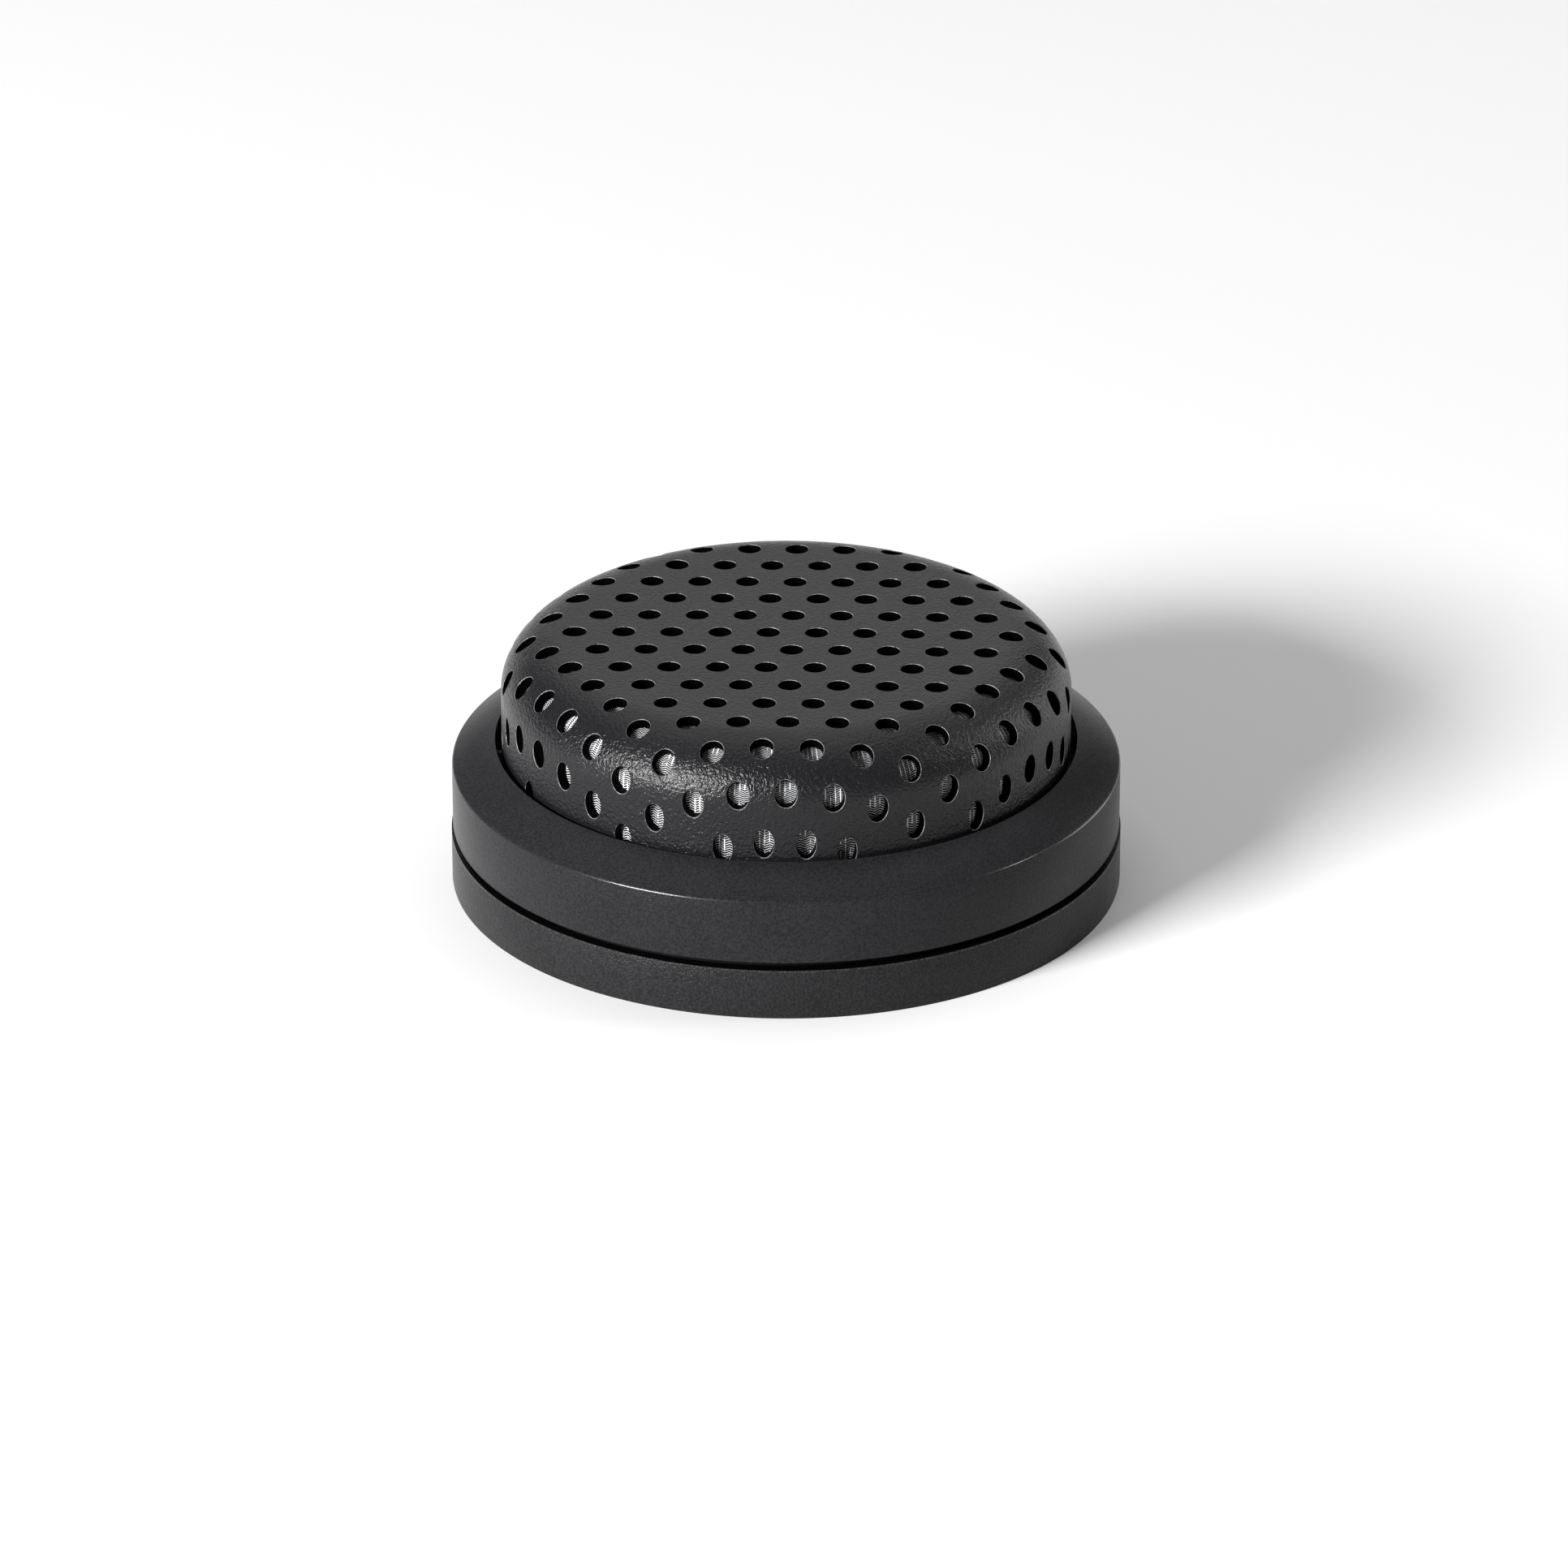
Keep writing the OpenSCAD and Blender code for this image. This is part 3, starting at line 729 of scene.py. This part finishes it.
def tool_shape(length):
    """Radius, height and outward slope of the tool, a given length along it from the middle."""
    turn = np.interp(length, arc_len, arc_turn)
    below = np.maximum(0, length - arc_len[-1])
    radius = np.where(length < FLAT_R, length, np.interp(length, arc_len, arc_r))
    crown = CROWN * (1 - np.minimum(1, length / FLAT_R) ** 2)
    height = np.interp(length, arc_len, arc_z) + crown - below
    slope = np.arctan2(SHOULDER_H * np.sin(turn), SHOULDER_R * np.cos(turn))
    return radius, height, slope


direction = np.arctan2(flat[:, 1], flat[:, 0])
radius, height, slope = tool_shape(drawn_length(np.hypot(flat[:, 0], flat[:, 1])))
radius = radius + flat[:, 2] * np.sin(slope)
height = height + flat[:, 2] * np.cos(slope)
drawn_points = np.stack([radius * np.cos(direction), radius * np.sin(direction), height], axis=1)
grille.data.vertices.foreach_set("co", drawn_points.ravel())
grille.data.update()
print("drawn to", round(height.max() / MM, 2), "mm high and", round(radius.max() / MM, 2), "mm round")

# %% [markdown]
# ## The flange
# The bezel's lip holds the grille by a flat flange. The wall is cut level by bisecting, and its open
# edges are extruded outwards and down. Known fault: the flange's strips don't all join, and behind the
# blank border the wall has no inner skin, as the tile cell says. Both are out of sight once the bezel is
# on, and the print counts the points that stay open.

# %% Flange
only(grille)
bpy.ops.object.mode_set(mode="EDIT")
bpy.ops.mesh.select_all(action="SELECT")
bpy.ops.mesh.bisect(plane_co=(0, 0, FLANGE_TOP), plane_no=(0, 0, -1), clear_outer=True)
bpy.ops.object.mode_set(mode="OBJECT")
cut_points = corners(grille)
CUT_NEAR = 0.002 * MM
at_cut = np.abs(cut_points[:, 2] - FLANGE_TOP) < CUT_NEAR
middle_r = WALL_R - SHEET / 2


def flange_ring(chosen, outline):
    """Selects the cut points marked True and extrudes their ring along the outline."""
    bpy.ops.object.mode_set(mode="EDIT")
    bpy.ops.mesh.select_all(action="DESELECT")
    bpy.ops.object.mode_set(mode="OBJECT")
    marked = np.zeros(len(grille.data.vertices), bool)
    marked[: len(chosen)] = chosen
    grille.data.vertices.foreach_set("select", marked)
    bpy.ops.object.mode_set(mode="EDIT")
    bpy.ops.mesh.select_mode(type="VERT")
    for (old_r, old_z), (new_r, new_z) in zip(outline, outline[1:]):
        ring_step(old_r, old_z, new_r, new_z)
    bpy.ops.object.mode_set(mode="OBJECT")


far_out = np.hypot(cut_points[:, 0], cut_points[:, 1])
rim_r = FLANGE_R - 0.05 * MM
flange_ring(at_cut & (far_out > middle_r), [(WALL_R, FLANGE_TOP), (rim_r, FLANGE_TOP), (rim_r, FLANGE_LOW)])
inner_r = WALL_R - SHEET
inner_path = [(inner_r, FLANGE_TOP), (inner_r, FLANGE_LOW), (rim_r, FLANGE_LOW)]
flange_ring(at_cut & (far_out < middle_r), inner_path)
bpy.ops.object.mode_set(mode="EDIT")
bpy.ops.mesh.select_all(action="SELECT")
bpy.ops.mesh.remove_doubles(threshold=5e-6)
bpy.ops.mesh.normals_make_consistent(inside=False)
bpy.ops.mesh.select_all(action="DESELECT")
bpy.ops.mesh.select_non_manifold()
bpy.ops.object.mode_set(mode="OBJECT")
open_points = sum(v.select for v in grille.data.vertices)
triangles = sum(len(p.vertices) - 2 for p in grille.data.polygons)
print("the grille has", triangles, "triangles and", open_points, "open points")
smooth(grille, 50)
dress(grille, paint)
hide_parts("grille")
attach(grille, "case")

# %% [markdown]
# ## The liner
# The cloth is pressed into the grille, so it follows the same tool, a sheet's thickness further in. It is
# turned from an outline that runs down its outside and back up its inside. It was cut as a round, whose
# radius is the length from its middle, over the shoulder and down to the hem.

# %% Liner
LINER_RINGS = 26


def tool_outline(inset, rings):
    """Points on the tool's shape, moved in by inset, from the middle down to the wall's top."""
    over_flat = np.linspace(AXIS_R, FLAT_R, 6)
    over_shoulder = np.linspace(FLAT_R, arc_len[-1], rings)[1:]
    radius, height, slope = tool_shape(np.concatenate([over_flat, over_shoulder]))
    inset_r = radius - inset * np.sin(slope)
    inset_z = height - inset * np.cos(slope)
    return [(float(r), float(h)) for r, h in zip(inset_r, inset_z)]


outer_inset = SHEET + LINER_GAP
outside = tool_outline(outer_inset, LINER_RINGS)
inside = tool_outline(outer_inset + LINER_T, LINER_RINGS)
hem = [(LINER_R, liner_low.z), (LINER_R - LINER_T, liner_low.z)]
outside = [(max(r, AXIS_R), h) for r, h in outside]
inside = [(max(r, AXIS_R), h) for r, h in inside]
liner = turned("woven_liner", outside + hem + inside[::-1])
points = corners(liner)
radial = np.hypot(points[:, 0], points[:, 1])
depth = np.maximum(0, arc_z[-1] - points[:, 2])
over = np.interp(-points[:, 2], -arc_z + outer_inset * np.cos(arc_turn), arc_len)
lengths = np.where(radial < FLAT_R - 0.1 * MM, radial, over + depth)
liner.data.attributes.new("along", "FLOAT", "POINT").data.foreach_set("value", lengths)
cut_r = arc_len[-1] + arc_z[-1] - liner_low.z
dress(liner, weave)
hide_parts("mesh_liner")
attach(liner, "case")
2 * cut_r
2 * cut_r
math.pi * cut_r**2
print("the liner was cut as a round", round(2 * cut_r / MM, 1), "mm across")

# %% [markdown]
# ## The bezel
# One turned ring: a straight side, a wide bevel, and a lip over the grille's flange. The tool breaks
# every edge, and the broken edge is what catches the light, so the rounding is modelled.

# %% Bezel
SHOULDER_Z = bezel_low.z + BEZEL_SIDE
RECESS_R = 23.05 * MM
bezel_outline = [
    (RECESS_R, bezel_low.z),
    (BEZEL_R, bezel_low.z),
    (BEZEL_R, SHOULDER_Z),
    (LIP_R, LIP_Z),
    (LIP_R, FLANGE_TOP),
    (RECESS_R, FLANGE_TOP),
]
bezel = turned("turned_bezel", bezel_outline, rounding=0.11 * MM)
dress(bezel, anodised)
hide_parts("bezel_ring")
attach(bezel, "case")

# %% [markdown]
# ## The gasket in the groove
# A rubber ring seals the bezel against the housing. Squeezed between them it bulges a little, so its
# section is rounded and it sits just inside the groove.

# %% Gasket
GASKET_WIDE = 0.85 * MM
gasket_inner = gasket_high.x - GASKET_WIDE
gasket_outline = [
    (gasket_inner, gasket_low.z),
    (gasket_high.x, gasket_low.z),
    (gasket_high.x, gasket_high.z),
    (gasket_inner, gasket_high.z),
]
gasket = turned("groove_gasket", gasket_outline, rounding=0.12 * MM)
dress(gasket, rubber)
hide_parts("bezel_gasket")
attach(gasket, "case")

# %% [markdown]
# ## The rear housing
# A moulded cup: its band shows below the bezel, and its plain spigot carries the bezel. The cup is
# turned. Boolean modifiers then add the bosses for the face plate's screws and the brass inserts and the
# posts under the terminal board, and cut the blind bores and the cable entry, as the mould would leave them.

# %% Rear housing
FLOOR_T = 1.4 * MM
SPIGOT_R = 22.9 * MM
SPIGOT_BORE = 21.3 * MM
HOLLOW_IN = 6 * MM
HOLLOW_OUT = 14.5 * MM
HOLLOW_DEEP = 0.4 * MM
housing_outline = [
    (AXIS_R, 0),
    (HOLLOW_IN, 0),
    (HOLLOW_IN, HOLLOW_DEEP),
    (HOLLOW_OUT, HOLLOW_DEEP),
    (HOLLOW_OUT, 0),
    (CASE_R, 0),
    (CASE_R, BAND_TOP),
    (SPIGOT_R, BAND_TOP),
    (SPIGOT_R, SPIGOT_TOP),
    (SPIGOT_BORE, SPIGOT_TOP),
    (SPIGOT_BORE, FLOOR_T),
    (AXIS_R, FLOOR_T),
]
housing = turned("moulded_housing", housing_outline, rounding=0.13 * MM)
THROUGH = 9 * MM
ROOT = FLOOR_T - 0.1 * MM
SPARE = 0.4 * MM
FACE_SCREW_AT = 17.7 * MM
FACE_SCREW_TURNS = (30, 150, 270)
FACE_BOSS_R = 1.9 * MM
PILOT_R = 0.8 * MM
PILOT_LOW = 3.9 * MM
POST_AT = 19.6 * MM
POST_TURNS = (70, 110)
POST_R = 0.8 * MM
INSERT_WALL = 0.7 * MM
INSERT_CAP = 1.4 * MM
insert_r = insert_high.y
insert_at = insert_high.x - insert_r
seat_r = insert_r + 0.02 * MM
board_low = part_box("terminal_board")[0]
for turn in FACE_SCREW_TURNS:
    combine(housing, upright(FACE_SCREW_AT, turn, FACE_BOSS_R, ROOT, SPIGOT_TOP), "UNION")
    combine(housing, upright(FACE_SCREW_AT, turn, PILOT_R, PILOT_LOW, SPIGOT_TOP + SPARE), "DIFFERENCE")
for turn in POST_TURNS:
    combine(housing, upright(POST_AT, turn, POST_R, ROOT, board_low.z), "UNION")
for turn in (0, 180):
    boss = upright(insert_at, turn, insert_r + INSERT_WALL, ROOT, insert_high.z + INSERT_CAP)
    combine(housing, boss, "UNION")
    combine(housing, upright(insert_at, turn, seat_r, -SPARE, insert_high.z + SPARE), "DIFFERENCE")
entry_mid = (grommet_low + grommet_high) / 2
only(None)
bpy.ops.mesh.primitive_cube_add(size=1, location=entry_mid)
entry = bpy.context.object
entry.dimensions = (grommet_high.x - grommet_low.x, THROUGH, grommet_high.z - grommet_low.z)
bpy.ops.object.transform_apply(location=True, rotation=False, scale=True)
combine(housing, entry, "DIFFERENCE")
smooth(housing)
dress(housing, nylon)
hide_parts("rear_housing")
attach(housing, "case")
print("insert seats at", round(insert_at / MM, 2), "mm, radius", round(seat_r / MM, 2), "mm")

# %% [markdown]
# ## Finishes for the parts inside
# The hidden parts keep their CAD shapes, and each gets the finish of its real material.
# The foam and felt ones are flat punched parts under light pressure, so they are firm.

# %% Inside
INSIDE = {
    "mounting_inserts": (brass, "brass"),
    "cable_grommet": (rubber, "rubber"),
    "motor_pad": (foam, "foam"),
    "yoke_cup": (steel, "zinc_steel"),
    "magnet": (nickel, "nickel"),
    "pole_plate": (steel, "zinc_steel"),
    "shorting_cap": (copper, "copper"),
    "pole_damping_pad": (grey_felt, "grey_felt"),
    "chamber_felt": (white_felt, "white_felt"),
    "terminal_board": (board_green, "board"),
    "solder_tags": (tinned, "tinned_brass"),
    "terminal_rivets": (tinned, "tinned_brass"),
    "internal_wires": (sleeve, "wire_sleeve"),
    "motor_carrier": (abs_plastic, "chassis_plastic"),
    "voice_coil_former": (amber_film, "former_film"),
    "voice_coil_winding": (winding, "copper_winding"),
    "dome_diaphragm": (dome_silk, "silk"),
    "diaphragm_mounting_ring": (abs_plastic, "chassis_plastic"),
    "contact_tabs": (tinned, "tinned_brass"),
    "face_plate": (face_abs, "face_plastic"),
    "face_plate_screws": (black_steel, "black_steel"),
    "grille_gasket": (foam, "foam"),
}
for node_name, (finish, slot_name) in INSIDE.items():
    dress(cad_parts[node_name], finish)
print(len(INSIDE), "inner parts dressed")

# %% [markdown]
# ## The parts that flex
# The surround and the lead-out wires join the moving diaphragm to the chassis. They are copies of the CAD
# parts, shaded smooth, and they take the CAD parts' places.

# %% Flexing parts
ROLL_AT = 14.5 * MM
ROLL_R = 1.3 * MM


def flexing(node_name, name, still_r, moving_r):
    """A copy of a CAD part, shaded smooth, in place of the hidden part; still_r and moving_r are only
    printed.
    """
    piece = bpy.data.objects.new(name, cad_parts[node_name].data.copy())
    bpy.context.scene.collection.objects.link(piece)
    only(piece)
    bpy.ops.object.mode_set(mode="EDIT")
    bpy.ops.mesh.select_all(action="SELECT")
    bpy.ops.mesh.remove_doubles(threshold=0.2e-6)
    bpy.ops.object.mode_set(mode="OBJECT")
    smooth(piece)
    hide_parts(node_name)
    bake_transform(piece)
    points = corners(piece)
    print(name, "flexes from", round(moving_r / MM, 2), "to", round(still_r / MM, 2), "mm")
    return piece


former_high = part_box("voice_coil_former")[1]
roll = flexing("surround", "half_roll_surround", ROLL_AT + ROLL_R, ROLL_AT - ROLL_R)
dress(roll, edge_silk)
leads = flexing("lead_out_wires", "flexing_leads", ROLL_AT + 2 * ROLL_R, former_high.x)
dress(leads, copper)

# %% [markdown]
# ## Light and floor
# A black object is lit by what it reflects. The key stands low at the front left and draws the highlight
# on the grille's shoulder and along the bezel's edge. A small kicker draws a second one on the right. The
# overhead light is what the bevel reflects and the back light what the flat of the grille reflects, and
# the light at the right opens the shadow. Floor and room are plain and pale.

# %% Studio
only(None)
bpy.ops.mesh.primitive_plane_add(size=4, location=(0, 0, -0.02 * MM))
floor = bpy.context.object
floor.name = "floor"
pale = Finish("floor_pale", Specular_IOR_Level=0.0, Roughness=1.0, Base_Color=(0.82, 0.82, 0.82, 1))
floor.data.materials.append(pale.material)


def soft_light(name, direction, distance, wide, tall, brightness):
    """A soft light that looks at the grille from a direction; brightness is its radiance."""
    light = bpy.data.objects.new(name, bpy.data.lights.new(name, "AREA"))
    bpy.context.scene.collection.objects.link(light)
    light.data.shape = "RECTANGLE"
    light.data.size = wide
    light.data.size_y = tall
    light.data.energy = brightness * math.pi * wide * tall
    light.location = Vector(direction).normalized() * distance
    light.rotation_euler = light.location.to_track_quat("Z", "Y").to_euler()


soft_light("key", (-0.74, -0.67, 0.40), 1.0, 0.38, 0.17, 115.0)
soft_light("kicker", (0.85, 0.05, 0.65), 0.8, 0.12, 0.12, 17.0)
soft_light("overhead", (0, 0.45, 1), 1.0, 1.1, 0.8, 1.0)
soft_light("back", (0, 1, 0.42), 1.2, 0.8, 0.8, 0.58)
soft_light("right", (1, 0.6, 0.35), 1.0, 0.5, 0.5, 2.5)
world = bpy.data.worlds.new("room")
bpy.context.scene.world = world
world.use_nodes = True
room = world.node_tree.nodes["Background"]
room.inputs["Color"].default_value = (1, 1, 1, 1)
room.inputs["Strength"].default_value = 0.14
bpy.context.scene.view_settings.view_transform = "Standard"
print(len(bpy.data.lights), "soft lights")
